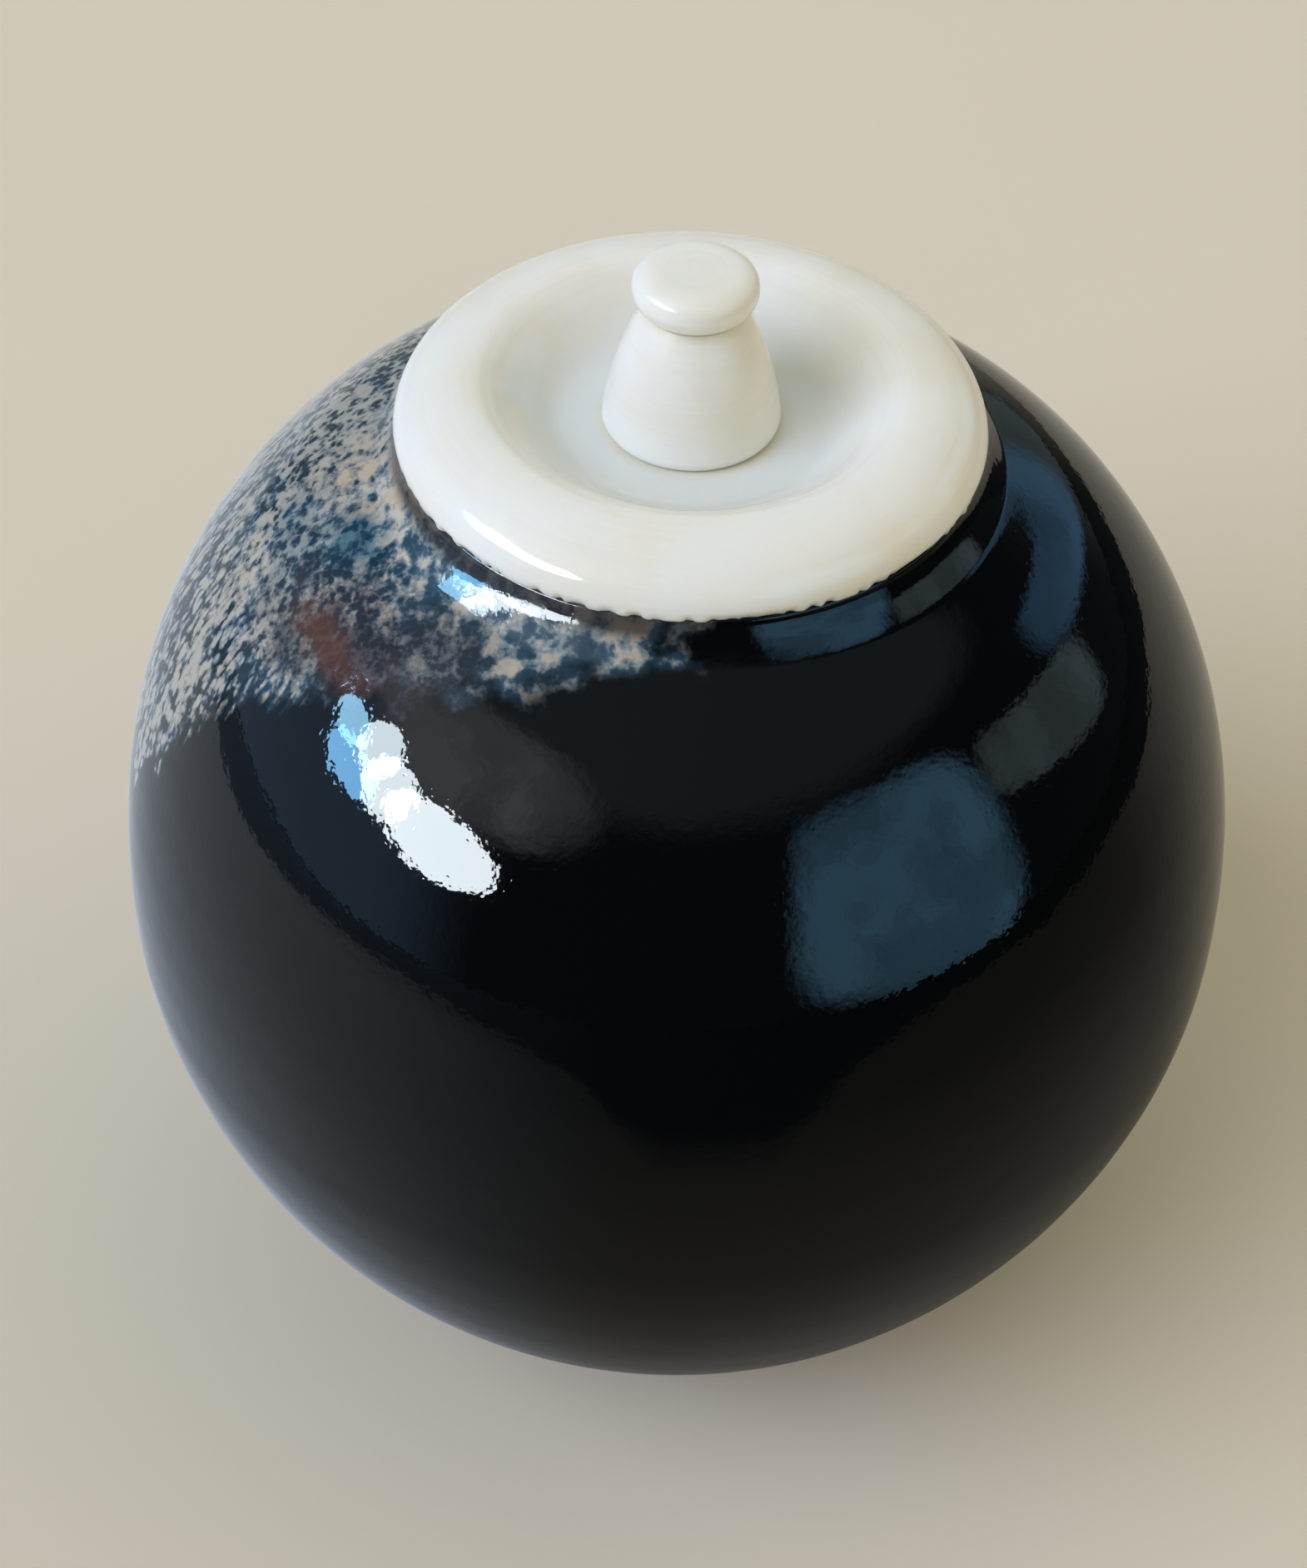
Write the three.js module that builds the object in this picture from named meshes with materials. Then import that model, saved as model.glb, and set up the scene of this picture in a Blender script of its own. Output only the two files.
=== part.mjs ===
// A round glazed stoneware tea caddy with a turned lid.
// The jar is thrown in one piece. The lid is turned, with a knob glued into its well
// and a gold-leafed paper lining glued under its plug. The lid lifts straight off.
// Millimetres, +Z up, origin at the centre of the foot.
import * as THREE from "three";

// Jar, outside
const bellyRadius = 35; // widest radius of the body
const bellyHeight = 31.9; // widest ring above the table
const footRadius = 17;
const footHeight = 1; // upright edge that the foot stands on
const footBevel = 0.4;
const lowerFullness = 1.83; // 2 is a true ellipse, more is squarer
const shoulderRise = 35.8; // widest ring up to where the shoulder curve would close
const shoulderFullness = 2.22;
const lipRadius = 16.7; // outside of the mouth, under the lid
const neckRise = 1.2; // rim above the shoulder curve
const flareRun = 1.7; // how far out the neck starts to flare
const flareEndSlope = 1.73; // rise over run of the flare where it meets the lip
const lipRound = 0.5;

// Jar, inside
const wall = 3.2;
const floorThickness = 4.5;
const lipWall = 3.2;

// Lid
const lidOverhang = 0.25;
const lidEdgeRound = 0.4; // under the edge
const rimWidth = 4.3; // edge in to the crest
const rimRise = 3.1; // edge up to the crest
const wellDepth = 2.9; // crest down to the well floor
const wellRun = 5.4; // crest in to the well floor
const wellEase = 0.36; // share of the run that eases each end of the well's slope
const plugDepth = 3.2;
const plugBevel = 0.4;
const plugClearance = 0.5; // round the plug, in the mouth
const plugMargin = 1.6; // ring left round the lining

// Lining
const liningThickness = 0.25;
const liningReveal = 0.35; // lining set back from the plug's end
const liningClearance = 0.15; // round the lining

// Knob
const knobRadius = 5.1; // widest, just above the well floor
const knobFootUndercut = 0.5; // foot drawn in from the widest ring
const knobFootRise = 0.65;
const knobWaistRadius = 2.85; // top of the bell, under the head
const knobBellHeight = 7.8;
const knobBellBulge = 1.87; // how far the bell's control point stands out from the waist
const headRadius = 3.55;
const headThickness = 2.45;
const headDish = 0.2;
const headGrooveAngle = 78; // degrees below the head's edge where its underside starts
const tenonRadius = 1.5;
const tenonClearance = 0.1; // round the tenon, for glue
const tenonEndGap = 0.3; // under the tenon, for glue
const socketFloor = 0.9; // left between the tenon's socket and the lining

// How finely the round forms are cut
const turnSteps = 48;
const knobTurnSteps = 36;
const curveSteps = 10;
const roundSteps = 4;

const point = (radius, height) => new THREE.Vector2(radius, height);

// Superellipse quarter: the height reached at a given radius, above its widest ring.
function rise(radius, width, height, fullness) {
  return height * Math.pow(1 - Math.pow(radius / width, fullness), 1 / fullness);
}

// Superellipse quarter as points, evenly spaced in angle, from the widest ring to endRadius.
// A negative height runs downwards.
function bowl(width, height, fullness, endRadius, base) {
  const endAngle = Math.acos(Math.pow(endRadius / width, fullness / 2));
  const points = [];
  for (let i = 0; i <= curveSteps; i++) {
    const angle = (endAngle * i) / curveSteps;
    const radius = width * Math.pow(Math.cos(angle), 2 / fullness);
    points.push(point(radius, base + height * Math.pow(Math.sin(angle), 2 / fullness)));
  }
  return points;
}

// Elliptic arc round (centreRadius, centreHeight), angles in degrees.
function arc(centreRadius, centreHeight, width, height, from, to, steps) {
  const start = THREE.MathUtils.degToRad(from);
  const end = THREE.MathUtils.degToRad(to);
  const curve = new THREE.EllipseCurve(
    centreRadius, centreHeight, width, height, start, end, to < from);
  return curve.getPoints(steps);
}

// Turns a profile of (radius, height) points about the upright axis.
function turned(name, profile, steps, finish) {
  const geometry = new THREE.LatheGeometry(profile, steps);
  geometry.rotateX(Math.PI / 2);
  const mesh = new THREE.Mesh(geometry, new THREE.MeshStandardMaterial(finish));
  mesh.name = name;
  return mesh;
}

// Places that more than one piece shares
const shoulderAt = (radius) =>
  bellyHeight + rise(radius, bellyRadius, shoulderRise, shoulderFullness);
const rimHeight = shoulderAt(lipRadius) + neckRise;
const boreRadius = lipRadius - lipWall;
const plugRadius = boreRadius - plugClearance;
const plugEnd = rimHeight - plugDepth;
const liningTop = plugEnd + liningReveal + liningThickness;
const liningSeatRadius = plugRadius - plugMargin;
const lidRadius = lipRadius + lidOverhang;
const edgeHeight = rimHeight + lidEdgeRound;
const crestRadius = lidRadius - rimWidth;
const crestHeight = edgeHeight + rimRise;
const wellFloor = crestHeight - wellDepth;
const socketEnd = liningTop + socketFloor;

// Half height of the curve below the belly, so that it arrives at the top of the foot.
const lowerRise = (bellyHeight - footHeight) / rise(footRadius, bellyRadius, 1, lowerFullness);

// Outside of the neck: tangent to the shoulder, ending steeply under the lip.
function neckFlare() {
  const startRadius = lipRadius + flareRun;
  const start = point(startRadius, shoulderAt(startRadius));
  const end = point(lipRadius, rimHeight - lipRound);
  const step = flareRun / curveSteps;
  const startSlope = (shoulderAt(startRadius - step) - start.y) / step;
  const reach = (end.y - start.y - startSlope * flareRun) / (flareEndSlope - startSlope);
  const corner = point(lipRadius + reach, end.y - flareEndSlope * reach);
  return new THREE.QuadraticBezierCurve(start, corner, end).getPoints(roundSteps + 1);
}

// The hollow follows the outside, one wall further in, and has a flat floor.
function hollow() {
  const width = bellyRadius - wall;
  const depth = lowerRise - wall;
  const drop = bellyHeight - floorThickness;
  const floorRadius = rise(drop, depth, width, lowerFullness);
  const upper = bowl(width, shoulderRise - wall, shoulderFullness, boreRadius, bellyHeight);
  const lower = bowl(width, -depth, lowerFullness, floorRadius, bellyHeight);
  return [...upper.reverse(), ...lower.slice(1)];
}

function jarBody() {
  const lower = bowl(bellyRadius, -lowerRise, lowerFullness, footRadius, bellyHeight);
  const upper = bowl(
    bellyRadius, shoulderRise, shoulderFullness, lipRadius + flareRun, bellyHeight);
  const lipTop = rimHeight - lipRound;
  const profile = [
    point(0, 0),
    point(footRadius - footBevel, 0),
    point(footRadius, footBevel),
    ...lower.reverse(),
    ...upper.slice(1),
    ...neckFlare().slice(1),
    ...arc(lipRadius - lipRound, lipTop, lipRound, lipRound, 0, 90, roundSteps).slice(1),
    ...arc(boreRadius + lipRound, lipTop, lipRound, lipRound, 90, 180, roundSteps),
    ...hollow(),
    point(0, floorThickness),
  ];
  return turned("jar_body", profile, turnSteps,
    { color: 0x0b0d10, roughness: 0.12, metalness: 0 });
}

// The well eases down from the crest to its flat floor.
function lidWell() {
  const ease = wellRun * wellEase;
  const floorRadius = crestRadius - wellRun;
  const slope = new THREE.CubicBezierCurve(
    point(crestRadius, crestHeight),
    point(crestRadius - ease, crestHeight),
    point(floorRadius + ease, wellFloor),
    point(floorRadius, wellFloor));
  return slope.getPoints(curveSteps);
}

function lidDisc() {
  const edgeCentre = lidRadius - lidEdgeRound;
  const socketRadius = tenonRadius + tenonClearance;
  const profile = [
    point(0, liningTop),
    point(liningSeatRadius, liningTop),
    point(liningSeatRadius, plugEnd),
    point(plugRadius - plugBevel, plugEnd),
    point(plugRadius, plugEnd + plugBevel),
    point(plugRadius, rimHeight),
    ...arc(edgeCentre, edgeHeight, lidEdgeRound, lidEdgeRound, -90, 0, roundSteps),
    ...arc(crestRadius, edgeHeight, rimWidth, rimRise, 0, 90, curveSteps).slice(1),
    ...lidWell().slice(1),
    point(socketRadius, wellFloor),
    point(socketRadius, socketEnd),
    point(0, socketEnd),
  ];
  return turned("lid_disc", profile, turnSteps,
    { color: 0xebe7da, roughness: 0.35, metalness: 0 });
}

function lidLining() {
  const radius = liningSeatRadius - liningClearance;
  const bottom = liningTop - liningThickness;
  const profile = [
    point(0, bottom),
    point(radius, bottom),
    point(radius, liningTop),
    point(0, liningTop),
  ];
  return turned("lid_lining", profile, turnSteps,
    { color: 0xc9a24b, roughness: 0.4, metalness: 1 });
}

// A bell on a rounded foot, a groove, and a button head with a dished top.
function knob() {
  const footRise = wellFloor + knobFootRise;
  const waist = wellFloor + knobBellHeight;
  const footRadiusIn = knobRadius - knobFootUndercut;
  const headRound = headThickness / 2;
  const headCentre = headRadius - headRound;
  const headMiddle = waist + headRound;
  const headTop = headMiddle + headRound;
  const bell = new THREE.QuadraticBezierCurve(
    point(knobRadius, footRise),
    point(knobWaistRadius + knobBellBulge, (footRise + waist) / 2),
    point(knobWaistRadius, waist));
  const dish = new THREE.QuadraticBezierCurve(
    point(headCentre, headTop),
    point(headCentre / 2, headTop - headDish),
    point(0, headTop - headDish));
  const tenonEnd = socketEnd + tenonEndGap;
  const profile = [
    point(0, tenonEnd),
    point(tenonRadius, tenonEnd),
    point(tenonRadius, wellFloor),
    ...arc(footRadiusIn, footRise, knobFootUndercut, knobFootRise, -90, 0, roundSteps),
    ...bell.getPoints(curveSteps).slice(1),
    ...arc(headCentre, headMiddle, headRound, headRound, -headGrooveAngle, 90, curveSteps),
    ...dish.getPoints(roundSteps).slice(1),
  ];
  return turned("lid_knob", profile, knobTurnSteps,
    { color: 0xeeeae0, roughness: 0.3, metalness: 0 });
}

const lid = new THREE.Group();
lid.add(lidDisc(), lidLining(), knob());

const teaCaddy = new THREE.Group();
teaCaddy.add(jarBody(), lid);

export default teaCaddy;
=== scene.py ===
import math
from functools import reduce

import bpy
import numpy as np
from mathutils import Matrix, Vector


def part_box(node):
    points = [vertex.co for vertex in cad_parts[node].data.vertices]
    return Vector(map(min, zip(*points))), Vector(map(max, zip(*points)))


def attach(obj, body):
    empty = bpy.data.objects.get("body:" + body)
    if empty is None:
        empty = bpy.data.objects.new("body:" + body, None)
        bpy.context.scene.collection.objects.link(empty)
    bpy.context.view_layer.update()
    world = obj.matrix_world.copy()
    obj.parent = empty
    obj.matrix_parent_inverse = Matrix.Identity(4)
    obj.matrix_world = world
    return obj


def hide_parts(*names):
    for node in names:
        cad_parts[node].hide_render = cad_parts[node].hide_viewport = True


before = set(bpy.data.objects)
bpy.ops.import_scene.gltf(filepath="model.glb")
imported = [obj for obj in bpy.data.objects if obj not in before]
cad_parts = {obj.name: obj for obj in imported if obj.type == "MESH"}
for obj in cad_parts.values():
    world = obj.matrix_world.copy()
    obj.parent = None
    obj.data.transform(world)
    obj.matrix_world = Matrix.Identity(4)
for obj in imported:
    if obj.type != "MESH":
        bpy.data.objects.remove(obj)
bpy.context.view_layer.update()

mm = 0.001
creaseAngle = 38  # degrees between two faces from which their edge is sharp
scene = bpy.context.scene
scene.view_settings.view_transform = "Standard"
print("frame loaded:", sorted(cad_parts))


# Straight run of (radius, height) points.
def lineRun(start, end, count):
    share = np.linspace(0, 1, count)[:, None]
    return (1 - share) * np.array(start, float) + share * np.array(end, float)


# Elliptic arc: the centre plus the two half axes times cosine and sine of a turning angle.
def arcRun(centre, halfAxes, fromDegrees, toDegrees, count):
    turn = np.radians(np.linspace(fromDegrees, toDegrees, count))
    return np.array(centre, float) + np.stack([np.cos(turn), np.sin(turn)], 1) * halfAxes


# Bezier curve: each control point weighted by its Bernstein polynomial.
def curveRun(controls, count):
    share = np.linspace(0, 1, count)[:, None]
    order = len(controls) - 1
    return sum(math.comb(order, k) * share**k * (1 - share)**(order - k) * np.array(point, float)
               for k, point in enumerate(controls))


# Superellipse quarter, (r/width)^n + (h/height)^n = 1, from the widest ring to endRadius.
def bowlRun(width, height, fullness, endRadius, base, count):
    turn = np.linspace(0, math.acos((endRadius / width) ** (fullness / 2)), count)
    radius = width * np.cos(turn) ** (2 / fullness)
    return np.stack([radius, base + height * np.sin(turn) ** (2 / fullness)], 1)


# Height of that superellipse at a given radius.
def bowlRise(radius, width, height, fullness):
    return height * (1 - (radius / width) ** fullness) ** (1 / fullness)


# Joins (finish, points) runs end to end, and gives each strip between two rows its finish.
def joinRuns(*runs):
    points = [runs[0][1]] + [run[1:] for finish, run in runs[1:]]
    finishes = [np.full(len(run) - 1, finish) for finish, run in runs]
    return np.vstack(points), np.concatenate(finishes)


# Smooth step from 0 at low to 1 at high.
def fade(value, low, high):
    share = np.clip((value - low) / (high - low), 0, 1)
    return share * share * (3 - 2 * share)


# Closed ring of random knots, joined by straight lines and read at any angle.
def ringNoise(angle, knots, seed):
    values = np.random.default_rng(seed).random(knots)
    places = np.linspace(0, 2 * np.pi, knots + 1)
    return np.interp(angle % (2 * np.pi), places, np.append(values, values[0]))


# Surface of revolution: the profile (r, z) carried round the axis, x = r sin a, y = -r cos a,
# after shape(r, z, a) has moved the grid. Both ends close on the axis.
def spinPiece(name, profile, finishes, turns, materials, shape):
    angle = np.linspace(0, 2 * np.pi, turns, endpoint=False)[None, :]
    r, z = np.broadcast_arrays(*shape(profile[:, :1], profile[:, 1:], angle))
    grid = np.stack([r * np.sin(angle), -r * np.cos(angle), z], -1)
    poles = [[0, 0, z[0].mean()]], [[0, 0, z[-1].mean()]]
    points = np.vstack([poles[0], grid[1:-1].reshape(-1, 3), poles[1]]) * mm
    ring = np.arange((len(profile) - 2) * turns).reshape(-1, turns) + 1
    beside = np.roll(ring, -1, axis=1)
    quads = np.stack([ring[:-1], beside[:-1], beside[1:], ring[1:]], -1).reshape(-1, 4)
    firstFan = np.stack([np.zeros(turns, int), beside[0], ring[0]], -1)
    lastFan = np.stack([ring[-1], beside[-1], np.full(turns, len(points) - 1)], -1)
    mesh = bpy.data.meshes.new(name)
    mesh.from_pydata(points.tolist(), [], firstFan.tolist() + quads.tolist() + lastFan.tolist())
    for material in materials:
        mesh.materials.append(material)
    mesh.polygons.foreach_set("material_index", np.repeat(finishes, turns))
    mesh.shade_smooth()
    mesh.set_sharp_from_angle(angle=math.radians(creaseAngle))
    piece = bpy.data.objects.new(name, mesh)
    scene.collection.objects.link(piece)
    print("made", name, len(mesh.polygons), "faces")
    return piece


# One output socket of a node tree. Sums on wires and numbers add Math nodes.
class Wire:
    def __init__(self, tree, socket):
        self.tree = tree
        self.socket = socket

    # Any node: its type, its settings, which are set first, and values or wires for its sockets.
    def node(self, kind, settings, sockets, output=0):
        made = self.tree.nodes.new(kind)
        for name, value in settings.items():
            setattr(made, name, value)
        for name, value in sockets.items():
            if isinstance(value, Wire):
                self.tree.links.new(value.socket, made.inputs[name])
            else:
                made.inputs[name].default_value = value
        return Wire(self.tree, made.outputs[output])

    def math(self, operation, *values):
        return self.node("ShaderNodeMath", {"operation": operation}, dict(enumerate(values)))

    def __add__(self, other):
        return self.math("ADD", self, other)

    def __radd__(self, other):
        return self.math("ADD", other, self)

    def __sub__(self, other):
        return self.math("SUBTRACT", self, other)

    def __rsub__(self, other):
        return self.math("SUBTRACT", other, self)

    def __mul__(self, other):
        return self.math("MULTIPLY", self, other)

    def __rmul__(self, other):
        return self.math("MULTIPLY", other, self)

    def __truediv__(self, other):
        return self.math("DIVIDE", self, other)

    def __pow__(self, other):
        return self.math("POWER", self, other)

    # A function of this value alone, such as SINE.
    def apply(self, operation):
        return self.math(operation, self)

    # The larger or the smaller of two values.
    def most(self, other):
        return self.math("MAXIMUM", self, other)

    def least(self, other):
        return self.math("MINIMUM", self, other)

    # Smooth step from 0 at low to 1 at high, or falling where low is above high.
    def fade(self, low, high):
        sockets = {0: self, 1: low, 2: high}
        return self.node("ShaderNodeMapRange", {"interpolation_type": "SMOOTHSTEP"}, sockets)

    # The same for an angle, between two angles in degrees.
    def fadeAngle(self, low, high):
        return self.fade(math.radians(low), math.radians(high))

    # This mask mixes two colours.
    def mix(self, first, second):
        return self.node("ShaderNodeMix", {"data_type": "RGBA"}, {0: self, 6: first, 7: second}, 2)

    # The three parts of a vector, as they are and in millimetres.
    def parts(self):
        split = self.tree.nodes.new("ShaderNodeSeparateXYZ")
        self.tree.links.new(self.socket, split.inputs[0])
        return [Wire(self.tree, part) for part in split.outputs]

    def millimetres(self):
        return [part * (1 / mm) for part in self.parts()]

    def vector(self, x, y, z):
        return self.node("ShaderNodeCombineXYZ", {}, {0: x, 1: y, 2: z})

    # Moves a vector by a vector noise, which wanders by up to reach either way.
    def wander(self, size, reach):
        sockets = {"Vector": self, "Scale": 1 / size, "Detail": 2.0}
        drift = self.node("ShaderNodeTexNoise", {}, sockets, "Color")
        centred = self.node("ShaderNodeVectorMath", {"operation": "SUBTRACT"}, {0: drift, 1: (0.5, 0.5, 0.5)})
        scaled = self.node("ShaderNodeVectorMath", {"operation": "SCALE"}, {0: centred, "Scale": 2 * reach})
        return self.node("ShaderNodeVectorMath", {"operation": "ADD"}, {0: self, 1: scaled})

    # Noise value at this vector, about 0.5 on average, with blobs about size across.
    def noise(self, size, detail=2.0, roughness=0.55):
        sockets = {"Vector": self, "Scale": 1 / size, "Detail": detail, "Roughness": roughness}
        return self.node("ShaderNodeTexNoise", {}, sockets)

    # Distance to the nearest of scattered points about size apart, in shares of size.
    def cells(self, size):
        return self.node("ShaderNodeTexVoronoi", {}, {"Vector": self, "Scale": 1 / size}, "Distance")

    # Normal that this height, in units of so many millimetres, gives the surface.
    def bump(self, millimetres):
        return self.node("ShaderNodeBump", {}, {"Height": self, "Distance": millimetres * mm})


# Distance from the upright axis.
def axisDistance(x, y):
    return (x * x + y * y) ** 0.5


# Angle round the axis, from the front to the right.
def axisTurn(x, y):
    return x.math("ARCTAN2", x, 0 - y)


# New material: the shader's own values are set, and the wire of Object coordinates is given back.
def startFinish(name, values):
    material = bpy.data.materials.new(name)
    material.use_nodes = True
    tree = material.node_tree
    shader = tree.nodes["Principled BSDF"]
    for socket, value in values.items():
        shader.inputs[socket].default_value = value
    spot = Wire(tree, tree.nodes.new("ShaderNodeTexCoord").outputs["Object"])
    return material, shader, spot


def feed(shader, wires):
    for socket, wire in wires.items():
        wire.tree.links.new(wire.socket, shader.inputs[socket])


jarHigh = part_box("jar_body")[1]
lidLow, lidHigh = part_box("lid_disc")
knobLow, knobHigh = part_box("lid_knob")
liningLow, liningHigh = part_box("lid_lining")
rimHeight = jarHigh.z / mm


# Jar, in millimetres. A pair is where a form starts to fade in and where it is full.
jar = {
    "turns": 256,
    "bellyRadius": jarHigh.x / mm,
    "bellyHeight": 31.9,
    "footRadius": 17.0,
    "footHeight": 1.0,
    "footRound": 0.45,
    "lowerFullness": 1.83,
    "shoulderRise": 35.8,
    "shoulderFullness": 2.22,
    "lipRadius": 16.7,
    "lipRound": 0.3,
    # Radius and slope in degrees, from the lip out to the crease where the shoulder starts
    "neckSlopes": ((16.7, 64), (16.95, 58), (17.2, 51.5), (17.45, 48), (18.0, 46), (18.25, 43), (18.45, 30)),
    "neckBlend": 23.0,  # radius out to which the shoulder eases into the neck
    "wall": 3.2,
    "floorThickness": 4.5,
    "outOfRound": 0.06,  # how far the belly is from a true circle
    "ovalTurn": 1.1,
    "throwingRing": 3.3,  # spacing of the rings that fingers left
    "throwingDepth": 0.16,
    "throwingDepthOutside": 0.004,
    "throwingFrom": (6.0, 14.0),  # heights outside
    "throwingAboveFloor": 1.5,
    "throwingBelowRim": 5.0,
    "cordPitch": 2.1,  # grooves left by the cord that cut the pot from the wheel
    "cordDepth": 0.2,
    "cordCentre": (-9.5, 4.0),  # x and y
    "cordSquash": 0.8,
    "cordSwirl": 0.7,
    "cordSharpness": 1.6,
    "cordEdge": (15.9, 13.2),  # radii
    "glazeLine": 2.7,  # where the glaze stops above the foot
    "glazeWaves": ((1, 0.45, 0.4), (3, 0.3, 1.9), (7, 0.16, 0.3)),  # times round, height, phase
    "glazeRoll": 0.16,  # thickness of the roll where the glaze stops
    "rollAbove": 0.55,  # from the glaze line up to its middle
    "rollWidth": 0.5,
    "rollFrom": (0.5, 1.4),  # heights
    "rollTo": (9.0, 6.0),
    "claySunk": 0.1,
    "clayEdge": (-0.25, 0.15),  # from the glaze line, where the clay starts to be covered and is
    # Points along each stretch of the profile
    "rows": {"foot": 58, "footRound": 7, "footSide": 4, "lower": 86, "upper": 76, "neck": 24, "lipRound": 8,
             "lipTop": 4, "bore": 6, "innerUpper": 44, "innerLower": 40, "floor": 14},
}


# Height where the glaze stops: the mean line plus a few sine waves round the foot.
def glazeEdge(angle, sine):
    waves = (height * sine(angle * times + phase) for times, height, phase in jar["glazeWaves"])
    return sum(waves, jar["glazeLine"])


# Neck from the shoulder up to the lip: the height is summed from a slope given at a few radii.
def neckRun(count):
    radii, slopes = np.array(jar["neckSlopes"]).T
    radius = np.linspace(radii[0], radii[-1], count)
    slope = np.tan(np.radians(np.interp(radius, radii, slopes)))
    fall = np.cumsum((slope[1:] + slope[:-1]) / 2 * np.diff(radius))
    height = rimHeight - jar["lipRound"] - np.append(0, fall)
    return np.stack([radius, height], 1)[::-1]


# Outside from the foot to the lip, then over the lip and down the inside.
def jarProfile():
    rows, wall, bevel, lipRound = jar["rows"], jar["wall"], jar["footRound"], jar["lipRound"]
    belly, base, foot = jar["bellyRadius"], jar["bellyHeight"], jar["footRadius"]
    lowerRise = (base - jar["footHeight"]) / bowlRise(foot, belly, 1, jar["lowerFullness"])
    lower = bowlRun(belly, -lowerRise, jar["lowerFullness"], foot, base, rows["lower"])[::-1]
    neck = neckRun(rows["neck"])
    upper = bowlRun(belly, jar["shoulderRise"], jar["shoulderFullness"], neck[0, 0], base, rows["upper"])
    upper[:, 1] += (neck[0, 1] - upper[-1, 1]) * fade(upper[:, 0], jar["neckBlend"], neck[0, 0])
    bore, lipOut = jar["lipRadius"] - wall, jar["lipRadius"] - lipRound
    lip, turn = rimHeight - lipRound, (lipRound, lipRound)
    inWidth, inRise, inDrop = belly - wall, jar["shoulderRise"] - wall, lowerRise - wall
    floorRadius = bowlRise(base - jar["floorThickness"], inDrop, inWidth, jar["lowerFullness"])
    inUpper = bowlRun(inWidth, inRise, jar["shoulderFullness"], bore, base, rows["innerUpper"])[::-1]
    inLower = bowlRun(inWidth, -inDrop, jar["lowerFullness"], floorRadius, base, rows["innerLower"])
    outside = [
        (0, lineRun((0, 0), (foot - bevel, 0), rows["foot"])),
        (0, arcRun((foot - bevel, bevel), (bevel, bevel), -90, 0, rows["footRound"])),
        (0, lineRun((foot, bevel), lower[0], rows["footSide"])),
        (0, lower),
        (0, upper),
        (0, neck),
        (0, arcRun((lipOut, lip), turn, 0, 90, rows["lipRound"])),
    ]
    inside = [
        (0, lineRun((lipOut, rimHeight), (bore + lipRound, rimHeight), rows["lipTop"])),
        (0, arcRun((bore + lipRound, lip), turn, 90, 180, rows["lipRound"])),
        (1, lineRun((bore, lip), inUpper[0], rows["bore"])),
        (1, inUpper),
        (1, inLower),
        (1, lineRun(inLower[-1], (0, jar["floorThickness"]), rows["floor"])),
    ]
    return *joinRuns(*outside, *inside), sum(len(run) - 1 for finish, run in outside) + 1


# The hand of the potter: the belly a little out of round, finger rings as a spiral sine,
# a roll of glaze above a sunk clay foot, and arcs about an off-centre point under the foot.
def jarShape(r, z, angle):
    outer = (np.arange(len(r)) < outsideRows)[:, None]
    oval = jar["outOfRound"] * (0.5 - 0.5 * np.cos(2 * angle - jar["ovalTurn"])) * (r / jar["bellyRadius"])
    ring = np.sin(2 * np.pi * z / jar["throwingRing"] + angle)
    aboveFloor = z > jar["floorThickness"] + jar["throwingAboveFloor"]
    belowRim = z < rimHeight - jar["throwingBelowRim"]
    ringIn = jar["throwingDepth"] * ring * (~outer & aboveFloor & belowRim)
    ringOut = jar["throwingDepthOutside"] * (ring - 1) * outer * fade(z, *jar["throwingFrom"])
    edge = glazeEdge(angle, np.sin)
    bare = 1 - fade(z - edge, *jar["clayEdge"])
    roll = jar["glazeRoll"] * np.exp(-((z - edge - jar["rollAbove"]) / jar["rollWidth"]) ** 2)
    foot = outer * fade(z, *jar["rollFrom"]) * fade(z, *jar["rollTo"]) * (roll - jar["claySunk"] * bare)
    x, y = r * np.sin(angle) - jar["cordCentre"][0], -r * np.cos(angle) - jar["cordCentre"][1]
    away, swirl = np.hypot(x, jar["cordSquash"] * y), jar["cordSwirl"] * np.arctan2(y, x)
    groove = (0.5 - 0.5 * np.cos(2 * np.pi * away / jar["cordPitch"] + swirl)) ** jar["cordSharpness"]
    under = outer & (z < 0.01)
    lift = jar["cordDepth"] * groove * fade(r, *jar["cordEdge"]) * under
    return r - oval + ringIn + ringOut + foot, z + lift


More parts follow.
